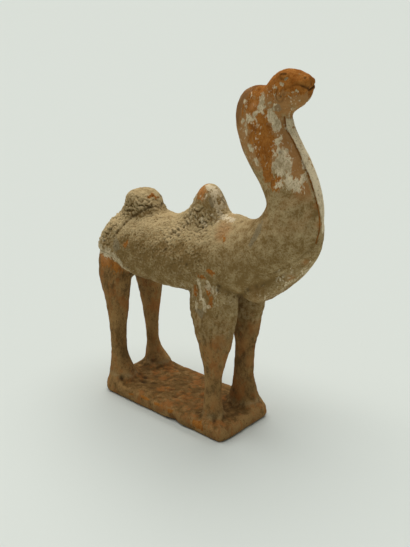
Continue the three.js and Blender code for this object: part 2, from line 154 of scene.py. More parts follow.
# %% Soften the skin
def rising(values, start, end):
    """0 before the start, 1 after the end, smooth between them."""
    share = np.clip((values - start) / (end - start), 0, 1)
    return share * share * (3 - 2 * share)


def between(values, start, full, ending, gone):
    """0 before the start, 1 from full to ending, 0 again once gone."""
    return rising(values, start, full) * (1 - rising(values, ending, gone))


def soften(points, web, rounds, forth=0.5, back=-0.52):
    """Smooths without shrinking."""
    for _ in range(rounds):
        for step in (forth, back):
            points = points + step * (web.mean(points) - points)
    return points


def melt(points, web, rounds, share=1.0):
    """Plain smoothing, as strong as share says at each point."""
    share = np.reshape(share, (-1, 1)) if np.ndim(share) else share
    for _ in range(rounds):
        points = points + 0.5 * share * (web.mean(points) - points)
    return points


SLAB_TOP = 14
SOFTENING_ROUNDS = 45
MELTING_ROUNDS = 26
MELTING_SHARE = 0.75
soft = soften(read_points(skin), web, SOFTENING_ROUNDS)
slab_edge = between(soft[:, 2], 3, 7, SLAB_TOP + 1, SLAB_TOP + 7)
soft = melt(soft, web, MELTING_ROUNDS, MELTING_SHARE * slab_edge)
print("moved by softening, mm:", round(float(np.abs(soft - read_points(skin)).max()), 2))
write_points(skin, soft)

# %% [markdown]
# Wool, fringe and head need closer points than smooth skin, and the face closer ones still, because
# its lids and lips are under a millimetre thick. Only the faces there are divided again. The left
# flank, which was pressed from a plainer half of the mould, keeps the wider step.

# %% Divide the skin where there is wool, fringe or a face
WOOL_BOX = {"x": (-120, 66), "y": (-60, 10), "z": (118, 226)}
UNDERSIDE = -0.55
HEAD_START = (86, 302)
HEAD_SLOPE = -0.55
FACE_START = 103
FRINGE_LINE = [
    (109, -4, 292), (111, -4, 283.5), (118.5, -4, 274), (125, -4.5, 264.5), (130.5, -4.5, 255.5),
    (135, -4.5, 249), (139.5, -4.5, 238.5), (143.5, -3.5, 227), (146, -3, 217), (146.5, -3, 208),
    (144.5, -4.5, 197),
]
FRINGE_REACH = 5
FRINGE_HALF = 9


def value_on(line, values):
    """The second value of a line's points, looked up by their first."""
    return np.interp(values, [p[0] for p in line], [p[1] for p in line])


FRINGE_EDGE = [(z, x) for x, _, z in reversed(FRINGE_LINE)]


def in_wool(middle, normal):
    inside = all(low < value < high for value, (low, high) in zip(middle, WOOL_BOX.values()))
    return inside and normal.z > UNDERSIDE


def in_head(middle):
    x, z = HEAD_START
    return middle.x > x and middle.z > z + HEAD_SLOPE * (middle.x - x)


def in_fringe(middle):
    if abs(middle.y) > FRINGE_HALF or not FRINGE_EDGE[0][0] < middle.z < FRINGE_EDGE[-1][0]:
        return False
    return middle.x > value_on(FRINGE_EDGE, middle.z) - FRINGE_REACH


def divide(mesh, wanted):
    """Splits into four the faces that are wanted, judged by their middle and normal."""
    work = bmesh.new()
    work.from_mesh(mesh)
    work.normal_update()
    faces = [face for face in work.faces if wanted(face.calc_center_median() / MM, face.normal)]
    edges = list({edge for face in faces for edge in face.edges})
    bmesh.ops.subdivide_edges(work, edges=edges, cuts=1, use_grid_fill=True)
    bmesh.ops.triangulate(work, faces=[face for face in work.faces if len(face.verts) > 4])
    work.to_mesh(mesh)
    work.free()


divide(skin, lambda middle, normal: in_wool(middle, normal) or in_head(middle) or in_fringe(middle))
divide(skin, lambda middle, normal: in_head(middle) and middle.x > FACE_START)
web = Web(skin)
base = soften(read_points(skin), web, 4)
write_points(skin, base)
normals = read_normals(skin)
X, Y, Z = base.T
UPWARD = normals[:, 2]
RIGHT = base * (1, 0, 1) - np.stack([0 * Y, np.abs(Y), 0 * Y], axis=1)
print("points:", len(skin.vertices), "triangles:", sum(len(face.vertices) - 2 for face in skin.polygons))

# %% [markdown]
# ## Noise to carve with
# Hand-pressed clay is never regular. The carving below is steered by two kinds of seeded noise: a
# smooth one for swells, strokes and worn edges, and a cellular one, whose cells stand for single
# knots of wool. Both are worked out for all points at once.

# %% Smooth noise and cell noise
DICE = np.random.RandomState(17)
TABLE = 4096
SLOPES = DICE.normal(size=(TABLE, 3))
SLOPES /= np.linalg.norm(SLOPES, axis=1)[:, None]
CENTRES = DICE.uniform(size=(TABLE, 3))


def cell_number(cell, seed):
    x, y, z = cell.T
    return ((x * 73856093) ^ (y * 19349663) ^ (z * 83492791) ^ (seed * 1640531)) % TABLE


def noise(points, size, seed=0):
    """Smooth noise about 0, mostly from -1 to 1. Size is the length of a swell."""
    place = points / size
    cell = np.floor(place).astype(np.int64)
    inside = place - cell
    ease = inside * inside * (3 - 2 * inside)
    total = np.zeros(len(points))
    for corner in itertools.product((0, 1), repeat=3):
        slope = SLOPES[cell_number(cell + corner, seed)]
        height = (slope * (inside - corner)).sum(axis=1)
        share = np.prod(np.where(np.array(corner) == 1, ease, 1 - ease), axis=1)
        total += height * share
    return 1.7 * total


def knots(points, size, seed):
    """Rounded knots with sharp creases between them, from 0 in a crease to about 1."""
    place = points / size
    cell = np.floor(place).astype(np.int64)
    first = np.full(len(points), 9.0)
    second = np.full(len(points), 9.0)
    for step in itertools.product((-1, 0, 1), repeat=3):
        corner = cell + step
        centre = corner + CENTRES[cell_number(corner, seed)]
        distance = np.linalg.norm(place - centre, axis=1)
        second = np.minimum(second, np.maximum(first, distance))
        first = np.minimum(first, distance)
    return rising(second - first, 0.0, 0.5) * (1 - 0.35 * first)


def slanted(points, along, stretch):
    """The points drawn together in one direction, so that noise on them runs that way."""
    along = np.array(along) / np.linalg.norm(along)
    run = points @ along
    return points - np.outer(run * (1 - 1 / stretch), along)


def bent(points, size, reach, seed):
    """The points pushed about by smooth noise."""
    return points + reach * np.stack([noise(points, size, seed + n) for n in range(3)], axis=1)


print("noise range:", round(float(noise(base, 9.0).min()), 2), round(float(noise(base, 9.0).max()), 2))

# %% [markdown]
# ## Drawing on the skin
# A feature is drawn as a few places on the right flank. They are rounded into a smooth line, dropped
# onto the skin, and every point then knows how far it lies from that line. The left flank gets the
# mirror image.

# %% Lines and dabs
surface = BVHTree.FromPolygons(base.tolist(), [tuple(face.vertices) for face in skin.polygons])


def on_skin(places):
    return np.array([surface.find_nearest(tuple(place))[0] for place in places])


def rounded(line, rounds=2):
    """A line with its corners cut, so that it bends smoothly."""
    places = np.array(line, dtype=float)
    for _ in range(rounds):
        pairs = [(0.75 * a + 0.25 * b, 0.25 * a + 0.75 * b) for a, b in itertools.pairwise(places)]
        places = np.array([places[0], *itertools.chain(*pairs), places[-1]])
    return places


def away_from(line):
    """How far each point lies from a line drawn on the skin, in millimetres."""
    nearest = np.full(len(base), 99.0)
    for start, end in itertools.pairwise(on_skin(rounded(line))):
        run = end - start
        share = np.clip(((RIGHT - start) @ run) / max(run @ run, 1e-9), 0, 1)
        nearest = np.minimum(nearest, np.linalg.norm(RIGHT - start - share[:, None] * run, axis=1))
    return nearest


def bell(values, width):
    """1 where the values are 0, fading on both sides over the width."""
    return np.exp(-((values / width) ** 2))


def drawn(line, width):
    """1 on a line drawn on the skin, fading to 0 over the width."""
    return bell(away_from(line), width)


def dabbed(place, width):
    """1 at a place on the skin, fading to 0 over the width. On the left flank it isn't mirrored."""
    points = base if place[1] > 0 else RIGHT
    return bell(np.linalg.norm(points - on_skin([place])[0], axis=1), width)


def strongest(*masks):
    """The largest of several masks at each point."""
    return np.maximum.reduce(masks)


print("skin ready to draw on")

# %% [markdown]
# ## Zones
# The mould-maker treated each part of the animal differently: curled wool on the trunk and the sides
# of the humps, bare smooth skin on the neck and the lower legs, and combed hair in the throat fringe
# and the mane. Each zone is a soft mask over the skin, worked out from the place of each point.

# %% Mark the zones
slab_zone = 1 - rising(Z, SLAB_TOP + 1, SLAB_TOP + 9)
LIP = [(-96, 147), (-80, 146), (-68, 146), (-60, 142), (-55, 136.5), (-50, 130.5), (-42, 126), (-30, 124)]
over_thigh = rising(-X, 34, 42) * rising(np.abs(Y), 14, 20)
above_lip = rising(Z - value_on(LIP, X) - 1.2 * noise(base, 7.0, 3), -0.7, 0.9)
trunk_zone = rising(Z + 1.5 * noise(base, 6.0, 4), 116, 121) * (1 - rising(Z, 226, 232))
trunk_zone *= (1 - rising(X, 84, 96)) * (1 - over_thigh * (1 - above_lip))
front_top = rising(Z + 3 * noise(base, 7.0, 6), 199, 209) * rising(X, 0, 8)
rear_top = rising(Z + 3 * noise(base, 6.0, 7), 201, 209) * rising(-X, 0, 8)
hump_tops = strongest(front_top, 0.75 * rear_top)
wool_end = X + 9 * noise(base, 22.0, 5)
wool_zone = trunk_zone * (1 - rising(wool_end, 40, 82)) * (1 - 0.88 * hump_tops)
leg_zone = (1 - slab_zone) * (1 - trunk_zone) * (1 - rising(Z, 150, 156))
neck_zone = rising(Z, 196, 214) * rising(X, 56, 62)
print("share of the skin under wool:", round(float(wool_zone.mean()), 2))

# %% Mark the fringe, the breast band and the mane
BREAST_CREASE = [
    (101, -26, 164), (108, -23, 165), (114, -20, 167), (126, -17, 177), (137, -12, 186), (143, -8, 194),
]
BAND_EDGE = [(104, -4, 141), (112, -5, 147), (123, -5, 157), (130, -4, 165), (138, -5, 176)]
MANE_EDGE = [
    (86, -2.5, 313), (84, -8, 310.5), (80, -11.5, 306.5), (77.5, -13, 302), (75.5, -14, 295),
    (75, -14.5, 289.5), (73.5, -14, 286),
]
fringe_x = value_on(FRINGE_EDGE, Z)
fringe_zone = rising(X - fringe_x, -0.3, 1.2) * between(Z, 200, 210, 289, 295)
mane_x = value_on([(z, x) for x, _, z in reversed(MANE_EDGE)], Z)
mane_zone = rising(mane_x - X, -0.3, 1.2) * rising(Z + 0.5 * np.abs(Y), 286, 292) * (1 - rising(X, 84, 90))
fringe_groove = drawn(FRINGE_LINE, 0.9)
mane_line = drawn(MANE_EDGE, 1.4)
breast_away = away_from(BREAST_CREASE)
print("skin points in the fringe and the mane:", int(fringe_zone.sum()), int(mane_zone.sum()))

# %% [markdown]
# ## Wool
# The wool was cut into the mould with many short strokes of a curved tool. Each left an arched groove
# with a raised lip beside it. Drawing them from noise would give cracks, not strokes, so the strokes
# are set down one by one: spots are picked at random but never too close together, each gets a
# direction along the skin, and the skin around it sinks and rises across the stroke.

# %% Helpers that set down strokes
near_points = KDTree(len(base))
for number, point in enumerate(base):
    near_points.insert(point, number)
near_points.balance()
LEAST_DENSITY = 0.12


def scattered(density, spacing, seed):
    """Skin points picked at random. They lie about a spacing apart, and further where it is thin."""
    dice = np.random.RandomState(seed)
    free = density > LEAST_DENSITY
    reach = spacing / np.sqrt(np.clip(density, LEAST_DENSITY, 1))
    picked = []
    for number in dice.permutation(np.flatnonzero(free)):
        if free[number]:
            picked.append(number)
            crowded = [index for _, index, _ in near_points.find_range(base[number], reach[number])]
            free[crowded] = False
    return np.array(picked)


def combed(spots, comb, stray, seed):
    """A direction along the skin for each spot: the comb's, turned at random about the normal."""
    dice = np.random.RandomState(seed)
    out = normals[spots]
    along = np.array(comb) - out * (out @ np.array(comb))[:, None]
    along /= np.linalg.norm(along, axis=1)[:, None] + 1e-9
    turn = np.radians(dice.normal(0, stray, len(spots)))[:, None]
    return along * np.cos(turn) + np.cross(out, along) * np.sin(turn)


def strokes(density, spacing, seed, comb, stray, half_length, width, arch=0.4, lip=0.8):
    """How far short arched strokes sink and raise the skin, from about -1 to 1."""
    spots = scattered(density, spacing, seed)
    total = np.zeros(len(base))
    bends = np.random.RandomState(seed + 500).uniform(-0.5, 1.5, len(spots)) * arch
    for number, along, bend in zip(spots, combed(spots, comb, stray, seed + 900), bends):
        found = near_points.find_range(base[number], 1.3 * half_length)
        near = np.array([index for _, index, _ in found])
        away = base[near] - base[number]
        across = np.cross(normals[number], along)
        across *= math.copysign(1, across[2])
        ahead = away @ along / half_length
        beside = away @ across / width + bend * (half_length / width) * ahead**2
        fade = np.clip(1 - ahead**2, 0, 1)
        total[near] += fade * (lip * bell(beside - 1.5, 1) - bell(beside, 1))
    return np.tanh(total)


print("stroke helpers ready")

# %% [markdown]
# On the rump and at the feet of the humps the strokes are long and deep and stand in rough rows. On
# the upper barrel they are short, worn and slanting, and low on the flank only small pits are left.
# On the shoulder a few light ones run level. Wear comes and goes over the flank, so a slow noise
# weakens the strokes here and there.

# %% Carve the wool
REAR_CREASE = [
    (-31, 1, 191.5), (-35.5, -7, 194), (-39, -13, 190.5), (-44, -16.5, 187), (-52, -18.5, 182),
    (-56, -24, 175), (-60.5, -28, 169), (-65.5, -31, 162),
]
REAR_CURLS = [
    (-38, -11, 196), (-48, -16, 193), (-58, -17, 187), (-66, -18, 180), (-71, -24, 172), (-76, -29, 161),
]
FRONT_CREASE = [(18, -10, 203), (16, -14, 193), (12, -20, 184), (4, -23, 178)]
FRONT_CURLS = [(19, -10, 203), (26, -13, 200), (30, -15, 195), (37, -15, 190), (33, -18, 185)]
SHOULDER_ROWS = [(46, -19, 189), (58, -18, 191), (70, -17, 193)]
COARSE_COMB = (1, 0, -0.35)
SLANT_COMB = (0.78, 0, 0.55)
PIT_COMB = (1, 0, 0)
LEVEL_COMB = (1, 0, 0.1)
rump = rising(-X + 4 * noise(base, 9.0, 61), 58, 76) * rising(Z, 146, 156)
rough = strongest(0.85 * rump, drawn(REAR_CURLS, 9), drawn(FRONT_CURLS, 9), drawn(FRONT_CREASE, 8))
upper = rising(Z + 6 * noise(base, 15.0, 37), 146, 164)
coarse = strokes(wool_zone * rough, 3.8, 31, COARSE_COMB, 30, 3.3, 0.9, arch=0.7)
slant = strokes(wool_zone * (1 - 0.8 * rough) * upper, 2.7, 32, SLANT_COMB, 48, 1.9, 0.6, arch=0.9, lip=1.0)
pits = strokes(wool_zone * (1 - 0.5 * rough), 2.9, 33, PIT_COMB, 90, 1.3, 0.7, arch=0.6, lip=0.4)
level = strokes(drawn(SHOULDER_ROWS, 10) * trunk_zone, 3.2, 34, LEVEL_COMB, 18, 3.0, 0.6, lip=1.1)
lumps = knots(bent(base, 5.5, 2.0, 21), 5.0, 35) - 0.55
swell = noise(base, 12.0, 38)
COARSE_DEPTH = 1.45
SLANT_DEPTH = 0.46
PIT_DEPTH = 0.42
LEVEL_DEPTH = 0.3
LUMP_DEPTH = 0.25
ROUGH_LUMP_DEPTH = 1.1
SWELL_DEPTH = 0.4
GRAIN_DEPTH = 0.2
unworn = 0.35 + 0.65 * rising(noise(base, 9.0, 36), -0.35, 0.35)
unpitted = 0.4 + 0.6 * rising(noise(base, 7.0, 41), -0.4, 0.3)
rise = COARSE_DEPTH * rough * coarse + SLANT_DEPTH * unworn * slant + PIT_DEPTH * unpitted * pits
rise += LEVEL_DEPTH * unworn * level
grain = noise(base, 2.3, 39) + 0.6 * noise(base, 1.5, 42)
lump_depth = LUMP_DEPTH + ROUGH_LUMP_DEPTH * rough
rise += wool_zone * (lump_depth * lumps + SWELL_DEPTH * swell + GRAIN_DEPTH * grain)
print("wool rises and falls by mm:", round(float(rise.min()), 2), round(float(rise.max()), 2))

# %% [markdown]
# The rear hump is set off from the back by one deep crease, and the front hump has another at its
# rear foot. The wool ends over the bare thigh in a thick lip.

# %% Cut the humps' creases and raise the lip
CREASE_DEPTH = 1.3
THIGH_SET_BACK = 1.6
wander = 0.35 + 0.9 * np.abs(noise(base, 5.0, 40))
rear_crease = drawn(REAR_CREASE, 1.5) * wander
front_crease = drawn(FRONT_CREASE, 1.3) * wander
rise -= CREASE_DEPTH * (rear_crease + 0.6 * front_crease)
lip_line = bell(Z - value_on(LIP, X) - 1.6, 1.9)
lip_swell = (0.25 + 0.6 * noise(base, 4.5, 43)) * lip_line * above_lip
rise += over_thigh * (lip_swell - THIGH_SET_BACK * (1 - above_lip) * rising(Z, 116, 126))
print("deepest crease, mm:", round(float(-rise.min()), 2))

# %% [markdown]
# The front hump rises from the back in a hollow curve, as if drawn up between finger and thumb. The
# solid's hump is a plainer cone, so its feet are raised. Raising them along the normals would make
# two bulges. Straight up, they fill the corners between the hump and the back. Each foot is a place
# along the figure, a width and a height. The rear hump's back is filled and its front is pared down.

# %% Raise the front hump's feet
HUMP_FEET = [(0, 10.5, 5.4), (14, 7, 2.4), (27, 8, 0.8), (50, 6, 3.4), (59, 8, 4.6)]
REAR_HUMP_BACK = (-61, -12, 199)
REAR_HUMP_FRONT = (-36, -1, 199)
lifted = sum(height * bell(X - place, width) for place, width, height in HUMP_FEET)
lifted *= rising(Z, 174, 192) * bell(Y, 15)
rise += 1.8 * dabbed(REAR_HUMP_BACK, 7) - 1.2 * dabbed(REAR_HUMP_FRONT, 6)
print("feet raised by mm:", round(float(lifted.max()), 1))

# %% [markdown]
# ## Neck, fringe and mane
# The fringe hangs down the throat as a raised strip, combed along its length, and widens under the
# breast into a soft fold. The mane covers the nape and has a thin raised edge. Softening took the
# sharpness out of both, so their edges are cut again: a groove along the fringe and a raised line
# along the mane.

# %% Comb the fringe and edge the mane
HAIR_DEPTH = 0.4
FRINGE_LIP_HEIGHT = 0.45
FOLD_DEPTH = 0.75
BAND_HAIR_DEPTH = 0.3
MANE_THICKNESS = 0.35
MANE_EDGE_HEIGHT = 0.6
NECK_UNEVENNESS = 0.16
hair = noise(slanted(base, (-0.45, 0, 1), 7.0), 2.2, 45)
fringe_lip = bell(X - fringe_x - 1.8, 1.3) * fringe_zone
band = rising(-breast_away, -9, -1.5) * rising(-Z, -192, -180) * rising(X + Z, 268, 276)
band_hair = noise(slanted(base, (1, 0, 0.9), 5.0), 3.0, 48)
mane_hair = noise(slanted(base, (-0.5, 0, 1), 4.0), 3.4, 46)
rise += HAIR_DEPTH * fringe_zone * hair + FRINGE_LIP_HEIGHT * fringe_lip
rise -= FOLD_DEPTH * fringe_groove
rise -= FOLD_DEPTH * bell(breast_away, 1.6) * (0.5 + 0.7 * np.abs(noise(base, 8.0, 44)))
rise += BAND_HAIR_DEPTH * band * band_hair
rise += MANE_THICKNESS * mane_zone * (1 + mane_hair)
rise += MANE_EDGE_HEIGHT * mane_line
rise += NECK_UNEVENNESS * neck_zone * noise(base, 5.0, 47)
print("fringe combed over", int((fringe_zone > 0.5).sum()), "points")

# %% [markdown]
# ## Face and ears
# The eye is a small ball between two lids. The mouth is cut deep at the front and runs back as a
# faint line, with a nostril above its front end, and the ear is a worn rolled shell behind the
# cheek. Each is placed on the right side and carved on both, with its own width and height.

# %% Carve the face
EYE = (110.8, -10, 325.4)
UPPER_LID = [(107.8, -10.6, 325.4), (109.2, -9.6, 326.8), (111.4, -9.2, 327.2), (113.6, -9, 326)]
LOWER_LID = [(107.8, -10.8, 324.6), (109.4, -10.6, 323.5), (111.8, -10.4, 323.2), (113.8, -9.6, 324.4)]
UNDER_EYE = [(108.4, -10.8, 321.8), (111.6, -10.4, 321.3), (114.6, -9.8, 322.4)]
NOSE_SWELL = (131.5, -2.5, 322.5)
NOSE_TIP = (135.5, 0, 319.5)
MOUTH = [
    (135, 0, 317.6), (132, -2, 318), (130.4, -4.1, 318.6), (128.6, -7, 319), (125.8, -9, 319),
    (122.6, -10, 318.2), (119.4, -10, 316.9), (116.2, -9.5, 315.4), (113.6, -11, 313.8),
]
UPPER_LIP = [(131.8, -1.5, 320), (129.6, -5, 320.9), (126, -8.6, 321.2), (121.5, -9.8, 320.2)]
LOWER_LIP = [(132.5, -1, 315.6), (130, -4.6, 316.2), (126.4, -8.4, 316.4), (122, -10, 315.4)]
NOSTRIL = (127.4, -4.6, 323)
NOSTRIL_RIM = (128.6, -4.2, 321.5)
EAR_RIM = [
    (108.2, -13, 313.6), (107, -13, 311), (107.2, -13, 307.6), (109, -13, 304.8), (111.8, -12.6, 305),
    (113.6, -12, 307.6), (113.6, -12, 310.8),
]
EAR_ROLL = [(110.2, -13, 313.6), (109.2, -13.4, 310.6), (110, -13.4, 307.4)]
EAR_PIT = (111.6, -13, 309)
JAW = [(126, -3, 304.6), (121, -5.5, 301.4), (115.4, -7.5, 299.4), (110, -9, 298.4)]
MOUTH_WIDTH = 0.75
MOUTH_DEPTH = 1.7
FACE_DABS = [
    (EYE, 1.4, 0.9), (EYE, 2.5, -0.8), (NOSE_SWELL, 4.0, 1.9), (NOSE_TIP, 3, -1.2), (NOSTRIL_RIM, 1.2, 0.5),
    (NOSTRIL, 0.9, -0.5), (EAR_PIT, 1.1, -0.5),
]
FACE_LINES = [
    (UPPER_LID, 0.8, 0.75), (LOWER_LID, 0.8, 0.6), (UNDER_EYE, 0.9, -0.4), (UPPER_LIP, 1.3, 0.5),
    (LOWER_LIP, 1.3, 0.5), (EAR_ROLL, 0.9, 0.6), (EAR_RIM, 0.9, -0.5), (JAW, 1.3, -0.5),
]
mouth_away = away_from(MOUTH)
mouth_share = (0.3 + 0.7 * rising(X, 123, 129)) * (0.8 + 0.5 * noise(base, 3.0, 51))
face = sum(height * dabbed(place, width) for place, width, height in FACE_DABS)
face += sum(height * drawn(line, width) for line, width, height in FACE_LINES)
face -= MOUTH_DEPTH * mouth_share * bell(mouth_away, MOUTH_WIDTH)
head_zone = rising(X, 88, 98) * rising(Z + 0.55 * X, 352, 360)
rise += face + head_zone * (0.2 * noise(base, 2.2, 49) + 0.3 * noise(base, 6.0, 50))
print("face rises and falls by mm:", round(float(face.min()), 2), round(float(face.max()), 2))

# %% [markdown]
# ## Legs and slab
# A tuft of wool hangs from the elbow of each fore leg, and the bare shanks are scraped lengthwise.
# The slab was pressed out by hand: fingers dragged across it left shallow strokes, and a fold of
# clay runs from the right fore foot to the slab's corner. Small holes lie on top, a chip is out of
# the right edge, and the far hind foot spreads forward in a toe. A number before a noise is its
# height in millimetres.

# %% Work the legs and the slab
FOLD = [(63, -24, 19), (67, -29, 15), (71, -32.5, 13.5), (75, -36, 8)]
CHIP = (18, -37, 2)
FAR_HIND_TOE = (-48, 23, 20)
HOLES = [((-41, -18, 14), 2.8), ((-46, -11, 14), 2.5), ((-58, -32, 16), 1.8), ((48, 31, 15), 2.0)]
HOLE_SHAPE = (0.7, 1, 0.5)
HOLE_DEPTH = 2.1
CHIP_DEPTH = 1.8
FOLD_HEIGHT = 1.7
TOE_HEIGHT = 2.6
FINGER_WAY = (0.8, 0.6, 0)
EDGE_WAY = (1, 0.2, 0)
TUFT_WAY = (0.15, 0, 1)
SHANK_WAY = (0.1, 0, 1)
on_top = slab_zone * rising(UPWARD, 0.6, 0.9) * rising(Z, 10, 13)
on_edge = slab_zone * rising(Z, 3, 6) * (1 - on_top)
fingers = strokes(on_top * between(X, -60, -30, 40, 60), 8.5, 51, FINGER_WAY, 30, 6.5, 1.5, lip=0.6)
scuffs = strokes(on_edge, 6.5, 52, EDGE_WAY, 25, 4.5, 1.8, lip=0.4)
crumbs = slab_zone * noise(base, 3.0, 59)
foot_strokes = noise(slanted(base, TUFT_WAY, 4.0), 4.0, 53)
tuft = leg_zone * rising(X, 20, 28) * rising(Z, 80, 92)
tuft_hair = strokes(tuft, 4.2, 54, TUFT_WAY, 22, 4.0, 1.2, arch=0.3, lip=0.7)
leg_marks = strokes(leg_zone * rising(Z, 24, 34), 6.5, 55, SHANK_WAY, 24, 4.5, 1.2, arch=0.2, lip=0.5)
off_floor = rising(Z, 0.4, 2.5)
rise += leg_zone * (0.25 * foot_strokes + 0.45 * noise(base, 10.0, 56) + 0.3 * noise(base, 4.2, 60))
rise += 0.35 * leg_marks + 0.4 * tuft * tuft_hair
rise += 0.5 * fingers + 0.5 * scuffs
rise += slab_zone * off_floor * (0.7 * noise(base, 13.0, 57) + 0.4 * noise(base, 5.0, 58))
rise += 0.36 * off_floor * crumbs
right_side = np.where(Y < 0, 1, 0)
rise += FOLD_HEIGHT * right_side * drawn(FOLD, 2.6) + TOE_HEIGHT * dabbed(FAR_HIND_TOE, 9)
pitted = sum(bell(np.linalg.norm((base - hole) * HOLE_SHAPE, axis=1), width) for hole, width in HOLES)
rise -= HOLE_DEPTH * pitted + CHIP_DEPTH * right_side * dabbed(CHIP, 4.5)
print("finger strokes and scuffs on the slab:", int((np.abs(fingers + scuffs) > 0.5).sum()), "points")

# %% [markdown]
# The muzzle is blunt. Its front is pressed straight back, the lower lip further than the upper one,
# and the front of the mouth is drawn down, so that a thick upper lip hangs a little over it.

# %% Put the carving on the skin
UPPER_LIP_BACK = 1.3
LOWER_LIP_BACK = 3.2
MOUTH_DROP = 2.6
MOUTH_HEIGHT = 316.8
muzzle = rising(X, 123, 132) * rising(Z, 296, 306)
lip_back = LOWER_LIP_BACK + (UPPER_LIP_BACK - LOWER_LIP_BACK) * rising(Z, 315, 319)
carved = base + normals * rise[:, None]
carved[:, 0] -= lip_back * muzzle
carved[:, 2] += lifted
carved[:, 2] -= MOUTH_DROP * muzzle * bell(Z - MOUTH_HEIGHT, 4.6)
carved[:, 2] = np.maximum(carved[:, 2], 0.0)
write_points(skin, carved)
skin.polygons.foreach_set("use_smooth", [True] * len(skin.polygons))
print("carved box, mm:", carved.min(axis=0).round(1), carved.max(axis=0).round(1))
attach(camel, "root")
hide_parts("camel_figure")

# %% [markdown]
# ## Where the clay, the slip and the earth show
# Hollows are painted darker and ridges paler, as painted shade and painted highlight. A point that
# lies below the mean of the skin around it is in a hollow. Comparing the skin with a melted copy of
# itself measures that.

# %% Measure hollows and ridges
def depth_below(points, rounds):
    """How far each point lies below the skin around it, in millimetres. Ridges come out negative."""
    return ((melt(points, web, rounds) - points) * normals).sum(axis=1)


NEAR_DEPTH = 0.3
WIDE_DEPTH = 1.3
near_hollow = np.clip(depth_below(carved, 5) / NEAR_DEPTH, -1, 1)
wide_hollow = np.clip(depth_below(carved, 40) / WIDE_DEPTH, -1, 1)
hollow = near_hollow * 0.65 + wide_hollow * 0.35
print("hollow:", round(float(hollow.min()), 2), "to", round(float(hollow.max()), 2))

# %% Helpers that lay patches on the skin
PUSHED = bent(bent(base, 9.0, 2.0, 61), 3.5, 1.3, 65)
AWAY = -2.5


def falling(share):
    """1 at a patch's middle, 0 at its edge, then down to the value of a place far away."""
    return np.clip(1.5 * (1 - share), AWAY, 1)


def marked(zone):
    """A soft zone turned into a patch."""
    return AWAY + (1 - AWAY) * zone


def patch(x, z, half_x, half_z, tilt=0.0, side=-1):
    """A ragged oval on one side: 1 in its middle, 0 at its edge and falling away outside it."""
    turn = math.radians(tilt)
    dx, dz = PUSHED[:, 0] - x, PUSHED[:, 2] - z
    along = (dx * math.cos(turn) + dz * math.sin(turn)) / half_x
    across = (dz * math.cos(turn) - dx * math.sin(turn)) / half_z
    on_side = rising(side * Y, -5, 0)
    return on_side * (falling(np.hypot(along, across)) - AWAY) + AWAY


def laid(ovals, left_shift=(3, -2)):
    """The strongest of some patches, on the right side and again, a little moved, on the left."""
    dx, dz = left_shift
    right = [patch(*oval) for oval in ovals]
    left = [patch(x + dx, z + dz, a, b, tilt, 1) for x, z, a, b, tilt in ovals]
    return np.max(right + left, axis=0)


def blushing(ovals):
    """Patches laid as a plain soft mask, from 0 at their edges to 1 in their middles."""
    return np.clip(laid(ovals), 0, 1)


def streak(line, width):
    """A patch along a line: 0 at the width."""
    return falling(away_from(line) / width)


print("patch helpers ready")

# %% [markdown]
# Bare clay and slip are laid as ovals where they lie on the real figure, in millimetres along and up,
# with half lengths and a tilt. Each oval only says how likely the clay or the slip is there. The
# material tears their edges later.

# %% Bare orange clay
NECK_CLAY = [
    (85, 300, 9, 6, 70), (95, 290, 8, 6.5, 80), (91, 284.5, 8, 5, 10), (92.5, 276, 9, 8.5, 90),
    (98, 281, 7, 5, 45), (103, 274.5, 7, 5.5, 0), (101, 266, 11, 6.5, 0), (103.5, 258, 7, 6.5, 90),
    (106.5, 249.5, 8, 6, 100), (114, 243, 5, 5, 0),
]
BODY_CLAY = [
    (27, 216.5, 8, 6.5, 60), (-38.5, 203, 2, 2, 0), (-44.8, 160, 4.5, 3.2, 80), (66, 188, 4, 2.2, -10),
    (59, 157, 4.5, 3.2, 0), (-82, 146, 4, 5, 90), (38.5, 137, 8, 3, 95), (48, 151.5, 5, 2.6, 0),
    (54.5, 140, 7, 3, 92), (58, 131, 7, 3, 92), (56, 157.5, 4, 1.6, 0), (78, 143.5, 1.5, 1.5, 0),
]
SLAB_CLAY = [
    (-19.5, 12, 7, 3, 0), (-4, 11, 6, 2.2, -5), (13, 13, 5.5, 3, 0), (48.5, 8.5, 8, 4.5, 0),
    (-38.5, 9, 3, 1.6, 0),
]
THIGH_CLAY = [(-76, 137, 13, 8, -15), (-66, 133, 7, 6, -30)]
HEAD_CLAY = [(108, 323, 28, 15, 8), (124, 321, 14, 9, 0), (92, 314, 16, 8, 20)]
ORANGE_DABS = [(-14.4, -11.4, 14), (8.1, -14, 14), (76.9, 20.3, 11.9)]
PALE_CLAY = [(-80, 138, 13, 9, -15), (27, 217.5, 8, 7, 60), (86, 300, 5, 4, 70)]
slab_clay = AWAY + (laid(SLAB_CLAY) - AWAY) * (1 - on_top)
bare_edges = marked(strongest(mane_line, fringe_groove))
orange_dabs = [marked(0.75 * dabbed(spot, 4.5)) for spot in ORANGE_DABS]
bare = strongest(laid(NECK_CLAY + THIGH_CLAY + HEAD_CLAY), laid(BODY_CLAY) - 0.3, slab_clay)
bare = strongest(bare, bare_edges, *orange_dabs)
bright = blushing(PALE_CLAY)
print("bare clay over", round(float((bare > 0).mean()), 3), "of the skin")

